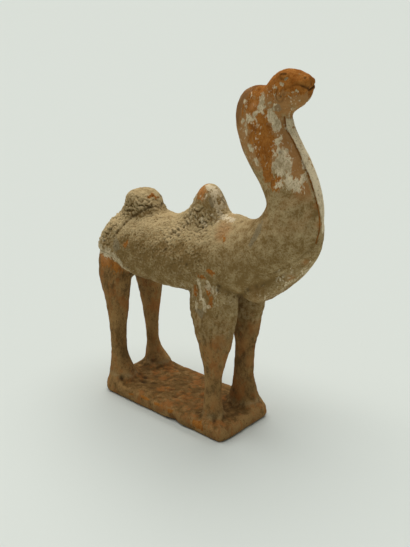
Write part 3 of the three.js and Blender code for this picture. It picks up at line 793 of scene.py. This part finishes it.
# %% White slip
NECK_SLIP = [
    (93, 302.5, 6.5, 2.5, 95), (90.5, 294.5, 3, 2, 60), (83, 289.5, 4, 2.6, 95), (76.5, 285.5, 3, 1.4, 10),
    (102, 292, 5, 3.6, 100), (105.5, 285, 4, 2.6, 105), (108.8, 275.2, 3.4, 2.6, 90),
    (81.5, 278.5, 5, 2, 95), (87.2, 267, 4.2, 2.6, 110), (94.5, 255.5, 5.5, 2.8, 118),
    (115.5, 258.5, 12, 6, 117), (115, 266, 3.5, 2.6, 100), (122.5, 247, 4.5, 3.5, 120),
    (128, 242.5, 6, 4, 120), (130, 250, 2, 1.4, 60), (131, 246, 3, 2, 100), (110.5, 254, 3, 1.8, 100),
]
HUMP_SLIP = [
    (34, 222, 4.5, 2.2, -20), (38.6, 218.3, 4, 3, 110), (46, 212, 5, 2, 110), (46, 205, 5, 1.6, 120),
]
# Slip on the head. The last dab, below the eye, is a painted highlight.
HEAD_SLIP_AND_HIGHLIGHT = [
    (110.5, 318.5, 1.4, 1.6, 0), (124, 313.6, 1.6, 1, 20), (106.3, 313.8, 1.3, 1, 0),
    (101, 304.4, 1.8, 1.2, 30), (105.4, 303, 1.4, 1.1, 0), (113.9, 323, 1.2, 0.8, 0),
]
THIGH_LIP = [
    (-86, -18, 147), (-80.6, -26, 145.5), (-66.6, -32, 146.8), (-61, -34, 143.5), (-57, -34, 139.7),
]
LIP_END = [(-57, -34, 139.7), (-51, -32, 131.6)]
HUMP_STRIPE = [(41, -8, 214), (46, -8, 206), (53, -8, 198.5), (62, -8, 197.5)]
ELBOW_STREAKS = [
    [(43, -30, 147), (43.5, -30, 140)], [(45.4, -30, 138), (46.5, -30, 131)],
    [(50, -30, 131), (51.5, -30, 122)], [(41, -30, 128), (42, -30, 119)], [(53, -30, 148), (54, -30, 142)],
]
SPECKLED = [
    (104, 297, 12, 11, 0), (118, 256, 12, 12, 110), (113, 304, 10, 7, 20), (45, 206, 9, 15, 110),
    (47, 135, 9, 18, 90), (-66, 143, 22, 7, -25), (126, 160, 24, 8, 40), (84, 278, 8, 24, 5),
    (28, 205, 12, 8, 40),
]
fringe_slip = marked(0.76 * fringe_zone) + 0.65 * fringe_zone * bell(X - fringe_x - 2.2, 2.6)
lip_slip = strongest(0.8 * streak(THIGH_LIP, 5.0), streak(LIP_END, 2.2) - 0.5)
stripe = streak(HUMP_STRIPE, 2.8) - 0.45
band_slip = 0.4 * streak(BAND_EDGE, 2.4) - 0.4
elbow_streaks = [streak(line, 1.8) - 0.15 for line in ELBOW_STREAKS]
speckled = np.minimum(laid(SPECKLED), -0.45)
slip = strongest(laid(NECK_SLIP + HEAD_SLIP_AND_HIGHLIGHT), laid(HUMP_SLIP) - 0.5, fringe_slip, speckled)
slip = strongest(slip, lip_slip, stripe, band_slip, *elbow_streaks)
print("slip over", round(float((slip > 0).mean()), 3), "of the skin")

# %% [markdown]
# Painted shade darkens the mouth, the deep creases and folds, the small holes, the chip and a few
# spots, among them painted shadows between the feet. A few grey stains lie on the body, and in places
# the clay shines through the earth as a warm blush: on the jaw, along the fringe, on the shoulder and
# in long marks down the legs.

# %% Painted shade in creases, grey stains and warm blushes
EYE_LINE = [(107.8, -10.6, 325), (109.8, -9.8, 326), (113, -9.4, 325.8)]
# Dark spots. Those at the far feet are painted shadows, and the eye, the ear's pit and the nostril get
# painted shade.
SPOTS_AND_SHADOWS = [
    ((64.4, -27.9, 146.5), 2.4), ((63.2, -28, 142.5), 1.9), ((14, -24, 180), 1.5),
    ((31.6, -33, 159.4), 1.5),
    ((4.5, -31, 166.8), 1.5), ((112.7, -13.3, 266.6), 1.2), ((-45.6, -30.8, 136.7), 1.5),
    ((54, 7.4, 28.6), 2.0), ((-56.9, 10.5, 20.5), 2.0), (EAR_PIT, 0.9), (EYE, 1.0), (NOSTRIL, 1.0),
]
GREY_STAINS = [
    (-58, 158, 6, 5, 90), (40, 212, 5, 3, 110), (46, 118, 7, 4, 0), (105.5, 299.5, 3.5, 3, 0),
    (98, 198, 3, 12, -14),
]
JAW_BLUSH = [(116, 304, 14, 7, 25), (104, 303, 7, 6, 0)]
SHOULDER_BLUSH = [(60, 191, 12, 7, -10)]
LEG_BLUSH = [
    (66, 96, 9, 6, 85), (58, 80, 8, 3.5, 90), (62, 60, 9, 3.5, 88), (60, 32, 9, 4, 95),
    (-60, 60, 22, 4, 88), (-86, 96, 14, 4, 88),
]
WARM_SPOTS = [
    ((59.8, 11.8, 75.5), 4.0), ((137.5, -7.5, 180.6), 2.5), ((126.8, -11.3, 164.8), 3.0),
    ((146.3, -3, 212), 3.0), ((142.5, -3.5, 227), 2.5),
]
# Painted shade in the mouth, the folds, the creases, the grooves by the eye and ear, the holes and the
# chip.
mouth_shade = mouth_share * bell(mouth_away, 0.9)
fold_shade = 0.2 * strongest(fringe_groove, bell(breast_away, 1.4))
crease_shade = strongest(0.9 * np.clip(rear_crease, 0, 1), 0.5 * np.clip(front_crease, 0, 1))
line_shade = strongest(0.3 * drawn(EAR_RIM, 0.9), 0.3 * drawn(UNDER_EYE, 0.8), 0.6 * drawn(EYE_LINE, 0.7))
pit_shade = strongest(np.clip(1.2 * pitted, 0, 1), 0.7 * right_side * dabbed(CHIP, 3.5))
spots_and_shadows = [0.85 * dabbed(*spot) for spot in SPOTS_AND_SHADOWS]
painted_shade_and_spots = strongest(mouth_shade, fold_shade, crease_shade, line_shade, pit_shade, *spots_and_shadows)
grey = laid(GREY_STAINS)
beside_fringe = between(X - fringe_x, -14, -9, -3, -1) * rising(Z, 226, 240)
upper_neck = rising(Z, 240, 262)
neck_blush = rising(noise(base, 9.0, 83) + 0.6 * upper_neck, -0.3, 0.5)
neck_blush *= (0.2 + 0.55 * upper_neck) * neck_zone
leg_blush = np.clip(laid(LEG_BLUSH) + 0.5 * noise(base, 4.0, 84), 0, 1)
warm = strongest(0.8 * beside_fringe, neck_blush, 0.55 * leg_blush, 0.7 * blushing(JAW_BLUSH))
warm = strongest(warm, 0.6 * blushing(SHOULDER_BLUSH), *[0.8 * dabbed(*spot) for spot in WARM_SPOTS])
print("dark marks:", int((painted_shade_and_spots > 0.4).sum()), "points")

# %% [markdown]
# The tone of the earth changes over the figure: pale on the back, where it lies thickest, browner low
# on the barrel, and darker still on the legs and the top of the slab. The shares below say how much
# each part adds to that paleness or takes from it.

# %% Write the masks on the skin
def paint(name, values):
    layer = skin.attributes.new(name, "FLOAT", "POINT")
    layer.data.foreach_set("value", np.ascontiguousarray(values, dtype=np.float32))


elbow_wool = rising(X, 22, 30) * rising(Z + 8 * noise(base, 8.0, 81), 84, 108)
brown = strongest(leg_zone * (1 - 0.75 * elbow_wool), slab_zone)
hump_sides = rising(Z, 186, 198) * (1 - hump_tops) * rising(X, -75, -65)
pale = 0.08 + 0.3 * rough + 0.8 * rising(UPWARD, 0.16, 0.85) + 0.16 * hump_sides
pale *= 1 - 0.42 * rear_top - 0.25 * front_top
pale -= 0.12 * between(Z, 146, 156, 174, 188) * between(X, -34, -14, 34, 48)
upper_front = rising(Z + 0.6 * X, 215, 260) * rising(X, 58, 74)
pale = pale * (1 - upper_front) + 0.36 * upper_front
pale *= (1 - 0.3 * rising(X, 76, 90) * (1 - rising(Z, 196, 214))) * (1 - 0.5 * head_zone)
pale += 0.12 * trunk_zone * between(X, 40, 50, 70, 84)
pale = pale * (1 - fringe_zone) + 0.95 * fringe_zone
brown_tone = 0.5 - 0.3 * on_top - 0.04 * leg_zone + (0.1 + 0.4 * rising(X, 66, 72)) * on_edge
brown_tone += leg_zone * rising(Y, 0, 6) * (0.2 * rising(-X, 0, 10) - 0.16 * rising(X, 0, 10))
brown_tone += 0.3 * noise(slanted(base, (0, 0, 1), 3.0), 6.0, 82)
pale = pale * (1 - brown) + brown_tone * brown
for name, values in {
    "bare": bare, "slip": slip, "grey": grey, "painted_shade_and_spots": painted_shade_and_spots, "warm": warm, "hollow": hollow, "brown": brown,
    "pale": pale, "bright": bright, "wool": wool_zone, "mane": mane_zone * (1 - mane_line),
}.items():
    paint(name, values)
print("masks:", [layer.name for layer in skin.attributes if layer.data_type == "FLOAT"])

# %% [markdown]
# ## The surface
# The fired clay, the slip and the earth are all dead matt. One material mixes them. Masks say where
# each lies, and fine noise tears every edge, because slip flakes off in scales smaller than the
# skin's own steps.

# %% Helpers for the node trees
def group_with(name, inputs, outputs):
    """An empty node group with named inputs, each a kind and a starting value, and named outputs."""
    group = bpy.data.node_groups.new(name, "ShaderNodeTree")
    for label, (kind, value) in inputs.items():
        socket = group.interface.new_socket(label, in_out="INPUT", socket_type=kind)
        socket.default_value = value
    for label, kind in outputs.items():
        group.interface.new_socket(label, in_out="OUTPUT", socket_type=kind)
    return group, group.nodes.new("NodeGroupInput"), group.nodes.new("NodeGroupOutput")


def feed(tree, socket, value):
    """Links a socket, or sets it where the value is a plain one."""
    if isinstance(value, bpy.types.NodeSocket):
        tree.links.new(value, socket)
    else:
        socket.default_value = value


def reckon(tree, operation, first, second, clamp=False):
    """A math node fed by sockets or numbers."""
    node = tree.nodes.new("ShaderNodeMath")
    node.operation = operation
    node.use_clamp = clamp
    feed(tree, node.inputs[0], first)
    feed(tree, node.inputs[1], second)
    return node.outputs[0]


def noise_value(tree, place, scale, detail=3.0, roughness=0.6):
    node = tree.nodes.new("ShaderNodeTexNoise")
    node.inputs["Detail"].default_value = detail
    node.inputs["Roughness"].default_value = roughness
    feed(tree, node.inputs["Scale"], scale)
    feed(tree, node.inputs["Vector"], place)
    return node.outputs["Fac"]


def spread(tree, value, low, high):
    """Stretches the values between low and high to run from 0 to 1."""
    node = tree.nodes.new("ShaderNodeMapRange")
    node.inputs["From Min"].default_value = low
    node.inputs["From Max"].default_value = high
    feed(tree, node.inputs["Value"], value)
    return node.outputs["Result"]


def mix(tree, share, under, over):
    """One colour laid over another as far as the share says."""
    node = tree.nodes.new("ShaderNodeMix")
    node.data_type = "RGBA"
    for socket, value in zip((node.inputs[0], node.inputs[6], node.inputs[7]), (share, under, over)):
        feed(tree, socket, value)
    return node.outputs[2]


print("node helpers ready")

# %% A node group that tears the edge of a mask
FLOAT = "NodeSocketFloat"
VECTOR = "NodeSocketVector"
COLOUR = "NodeSocketColor"
EDGE_STEEPNESS = 2.6
FRAY_TIMES = 4.0
torn_edge, given, given_back = group_with(
    "torn_edge",
    {
        "Mask": (FLOAT, 0.0),
        "Place": (VECTOR, (0, 0, 0)),
        "Scale": (FLOAT, 150.0),
        "Bite": (FLOAT, 2.0),
        "Fray": (FLOAT, 2.0),
    },
    {"Mask": FLOAT},
)


def swing(value, reach):
    """A noise value moved to lie about 0 and stretched."""
    return reckon(torn_edge, "MULTIPLY", reckon(torn_edge, "SUBTRACT", value, 0.5), reach)


rag = noise_value(torn_edge, given.outputs["Place"], given.outputs["Scale"], 3.0, 0.6)
fray_scale = reckon(torn_edge, "MULTIPLY", given.outputs["Scale"], FRAY_TIMES)
fray = noise_value(torn_edge, given.outputs["Place"], fray_scale, 3.0, 0.65)
torn = reckon(torn_edge, "ADD", given.outputs["Mask"], swing(rag, given.outputs["Bite"]))
torn = reckon(torn_edge, "ADD", torn, swing(fray, given.outputs["Fray"]))
clean = reckon(torn_edge, "ADD", reckon(torn_edge, "MULTIPLY", torn, EDGE_STEEPNESS), 0.5, clamp=True)
torn_edge.links.new(clean, given_back.inputs["Mask"])
print("node group:", torn_edge.name)

# %% A node group of mottled earth
FINE_TIMES = 5.0
MOTTLE = 2.8
mottled_earth, given, given_back = group_with(
    "mottled_earth",
    {
        "Place": (VECTOR, (0, 0, 0)),
        "Scale": (FLOAT, 90.0),
        "Lift": (FLOAT, 0.5),
        "Low": (COLOUR, (0.3, 0.2, 0.1, 1)),
        "High": (COLOUR, (0.4, 0.3, 0.2, 1)),
        "Speck": (COLOUR, (0.1, 0.1, 0.1, 1)),
    },
    {"Colour": COLOUR},
)
broad = noise_value(mottled_earth, given.outputs["Place"], given.outputs["Scale"], 5.0, 0.65)
fine_scale = reckon(mottled_earth, "MULTIPLY", given.outputs["Scale"], FINE_TIMES)
fine = noise_value(mottled_earth, given.outputs["Place"], fine_scale, 3.0, 0.7)
sway = reckon(mottled_earth, "SUBTRACT", reckon(mottled_earth, "ADD", broad, fine), 1.0)
sway = reckon(mottled_earth, "MULTIPLY", sway, MOTTLE)
share = reckon(mottled_earth, "ADD", given.outputs["Lift"], sway, clamp=True)
tone = mix(mottled_earth, share, given.outputs["Low"], given.outputs["High"])
specks = reckon(mottled_earth, "MULTIPLY", spread(mottled_earth, fine, 0.58, 0.68), 0.75)
tone = mix(mottled_earth, specks, tone, given.outputs["Speck"])
mottled_earth.links.new(tone, given_back.inputs["Colour"])
print("node group:", mottled_earth.name)

# %% Mix earth, clay and slip
EARTH_LOW = (0.235, 0.145, 0.050, 1)
EARTH_HIGH = (0.52, 0.39, 0.20, 1)
EARTH_SPECK = (0.13, 0.08, 0.03, 1)
LEG_LOW = (0.155, 0.084, 0.026, 1)
LEG_HIGH = (0.37, 0.21, 0.075, 1)
LEG_SPECK = (0.085, 0.045, 0.016, 1)
CLAY_LOW = (0.27, 0.085, 0.010, 1)
CLAY_HIGH = (0.46, 0.185, 0.038, 1)
CLAY_SPECK = (0.13, 0.042, 0.008, 1)
CLAY_PALE = (0.53, 0.235, 0.075, 1)
SLIP_LOW = (0.38, 0.28, 0.15, 1)
SLIP_HIGH = (0.82, 0.68, 0.45, 1)
SLIP_SPECK = (0.17, 0.10, 0.045, 1)
MANE_DARK = (0.17, 0.07, 0.02, 1)
WARM = (0.40, 0.185, 0.06, 1)
STAIN = (0.24, 0.20, 0.125, 1)
RIDGE_HIGHLIGHT = (0.60, 0.47, 0.29, 1)
SHADE_COLOUR = (0.05, 0.03, 0.012, 1)
RED_EARTH = (0.34, 0.125, 0.03, 1)
UPRIGHT = (1.0, 1.0, 0.55)

clay = bpy.data.materials.new("weathered_terracotta")
clay.use_nodes = True
tree = clay.node_tree
tree.nodes.clear()
surface = tree.nodes.new("ShaderNodeBsdfPrincipled")
surface.inputs["Roughness"].default_value = 0.92
surface.inputs["Specular IOR Level"].default_value = 0.08
output = tree.nodes.new("ShaderNodeOutputMaterial")
tree.links.new(surface.outputs["BSDF"], output.inputs["Surface"])
place = tree.nodes.new("ShaderNodeTexCoord").outputs["Object"]
drawn_up = tree.nodes.new("ShaderNodeVectorMath")
drawn_up.operation = "MULTIPLY"
drawn_up.inputs[1].default_value = UPRIGHT
tree.links.new(place, drawn_up.inputs[0])
upright_place = drawn_up.outputs[0]


def mask(name):
    node = tree.nodes.new("ShaderNodeAttribute")
    node.attribute_name = name
    return node.outputs["Fac"]


def use_group(group, label, values):
    """A node group in the clay. Its place is drawn up unless another one is given."""
    node = tree.nodes.new("ShaderNodeGroup")
    node.node_tree = group
    node.label = label
    for name, value in {"Place": upright_place, **values}.items():
        feed(tree, node.inputs[name], value)
    return node.outputs[0]


def torn_mask(name, scale, bite, fray):
    return use_group(torn_edge, name, {"Mask": mask(name), "Scale": scale, "Bite": bite, "Fray": fray})


def earth_of(label, scale, lift, low, high, speck, where=upright_place):
    values = {"Place": where, "Scale": scale, "Lift": lift, "Low": low, "High": high, "Speck": speck}
    return use_group(mottled_earth, label, values)


def weaken(value, share):
    return reckon(tree, "MULTIPLY", value, share)


hollows = mask("hollow")
# Earth is painted darker in hollows and paler on ridges: painted shade and painted highlight.
lift = reckon(tree, "SUBTRACT", mask("pale"), weaken(hollows, 0.35))
colour = earth_of("earth", 120.0, lift, EARTH_LOW, EARTH_HIGH, EARTH_SPECK, place)
leg_tone = earth_of("leg earth", 110.0, lift, LEG_LOW, LEG_HIGH, LEG_SPECK)
redness = spread(tree, noise_value(tree, upright_place, 85.0, 5.0, 0.75), 0.5, 0.6)
leg_tone = mix(tree, weaken(redness, 0.7), leg_tone, RED_EARTH)
grime = spread(tree, noise_value(tree, upright_place, 140.0, 5.0, 0.75), 0.53, 0.66)
leg_tone = mix(tree, weaken(grime, 0.7), leg_tone, LEG_SPECK)
# Slip follows the same lift, so it carries the same painted shade and highlight.
slip_lift = reckon(tree, "ADD", 0.22, weaken(lift, 0.75))
# Clay is also painted darker in hollows and paler on ridges: painted shade and painted highlight.
clay_lift = reckon(tree, "SUBTRACT", 0.5, weaken(hollows, 0.4))
clay_tone = earth_of("clay", 120.0, clay_lift, CLAY_LOW, CLAY_HIGH, CLAY_SPECK)
clay_tone = mix(tree, weaken(mask("bright"), 0.8), clay_tone, CLAY_PALE)
sooty = spread(tree, noise_value(tree, upright_place, 170.0, 5.0, 0.75), 0.52, 0.64)
clay_tone = mix(tree, weaken(sooty, 0.5), clay_tone, CLAY_SPECK)
slip_tone = earth_of("slip", 160.0, slip_lift, SLIP_LOW, SLIP_HIGH, SLIP_SPECK)
colour = mix(tree, weaken(mask("brown"), 0.95), colour, leg_tone)
colour = mix(tree, mask("warm"), colour, WARM)
grey_stain = torn_mask("grey", scale=150.0, bite=2.4, fray=1.5)
colour = mix(tree, weaken(grey_stain, 0.55), colour, STAIN)
colour = mix(tree, torn_mask("bare", scale=130.0, bite=3.2, fray=2.6), colour, clay_tone)
colour = mix(tree, weaken(mask("mane"), 0.62), colour, MANE_DARK)
colour = mix(tree, torn_mask("slip", scale=130.0, bite=3.2, fray=2.7), colour, slip_tone)
# The wool's ridges are painted paler: a painted highlight.
raised = weaken(weaken(spread(tree, hollows, -0.15, -0.85), mask("wool")), 0.3)
colour = mix(tree, raised, colour, RIDGE_HIGHLIGHT)
# Hollows and the dark marks get a near-black colour: painted shade.
painted_shade_share = weaken(spread(tree, hollows, 0.15, 0.85), 0.52)
painted_shade_share = reckon(tree, "MAXIMUM", painted_shade_share, weaken(mask("painted_shade_and_spots"), 0.9), clamp=True)
colour = mix(tree, painted_shade_share, colour, SHADE_COLOUR)
tree.links.new(colour, surface.inputs["Base Color"])
grain = noise_value(tree, place, 800.0, 4.0, 0.7)
woolly = weaken(noise_value(tree, place, 420.0, 2.0, 0.5), weaken(mask("wool"), 2.5))
bump = tree.nodes.new("ShaderNodeBump")
bump.inputs["Distance"].default_value = 0.0008
bump.inputs["Strength"].default_value = 0.6
dents = weaken(noise_value(tree, place, 260.0, 3.0, 0.6), 1.6)
relief = reckon(tree, "ADD", reckon(tree, "ADD", grain, dents), woolly)
tree.links.new(relief, bump.inputs["Height"])
tree.links.new(bump.outputs["Normal"], surface.inputs["Normal"])
skin.materials.clear()
skin.materials.append(clay)
print("nodes in the clay:", len(tree.nodes))

# %% [markdown]
# ## Floor and light
# The figure stands on a wide sheet of plain pale matt paper. The light is a soft overcast sky: a very
# wide sun high up gives faint shadows, and the sky's own glow fills them. Nothing about it is meant
# to be noticed.

# %% Lay the paper
FLOOR_HALF = 14.0
PAPER_TONE = (0.66, 0.70, 0.665, 1)
PAPER_ROUGHNESS = 0.95
PAPER_GLOSS = 0.1
corners = [(-1, -1), (1, -1), (1, 1), (-1, 1)]
paper_mesh = bpy.data.meshes.new("paper")
paper_mesh.from_pydata([(x * FLOOR_HALF, y * FLOOR_HALF, 0) for x, y in corners], [], [(0, 1, 2, 3)])
floor = bpy.data.objects.new("paper", paper_mesh)
floor.location.z = -0.0002
bpy.context.scene.collection.objects.link(floor)
paper = bpy.data.materials.new("pale_paper")
paper.use_nodes = True
sheet = paper.node_tree.nodes["Principled BSDF"]
sheet.inputs["Base Color"].default_value = PAPER_TONE
sheet.inputs["Roughness"].default_value = PAPER_ROUGHNESS
sheet.inputs["Specular IOR Level"].default_value = PAPER_GLOSS
paper_mesh.materials.append(paper)
print("paper laid")

# %% Light it
SUN_STRENGTH = 2.95
SUN_WIDTH = 75
SUN_TILT = (-8, -14, 0)
SUN_COLOUR = (1.0, 0.985, 0.96)
SKY_COLOUR = (0.95, 1.0, 0.97, 1)
SKY_STRENGTH = 0.18
sun_data = bpy.data.lights.new("overcast_sun", "SUN")
sun_data.energy = SUN_STRENGTH
sun_data.angle = math.radians(SUN_WIDTH)
sun_data.color = SUN_COLOUR
sun = bpy.data.objects.new("overcast_sun", sun_data)
sun.rotation_euler = [math.radians(angle) for angle in SUN_TILT]
bpy.context.scene.collection.objects.link(sun)
world = bpy.data.worlds.new("sky")
world.use_nodes = True
glow = world.node_tree.nodes["Background"]
glow.inputs["Color"].default_value = SKY_COLOUR
glow.inputs["Strength"].default_value = SKY_STRENGTH
bpy.context.scene.world = world
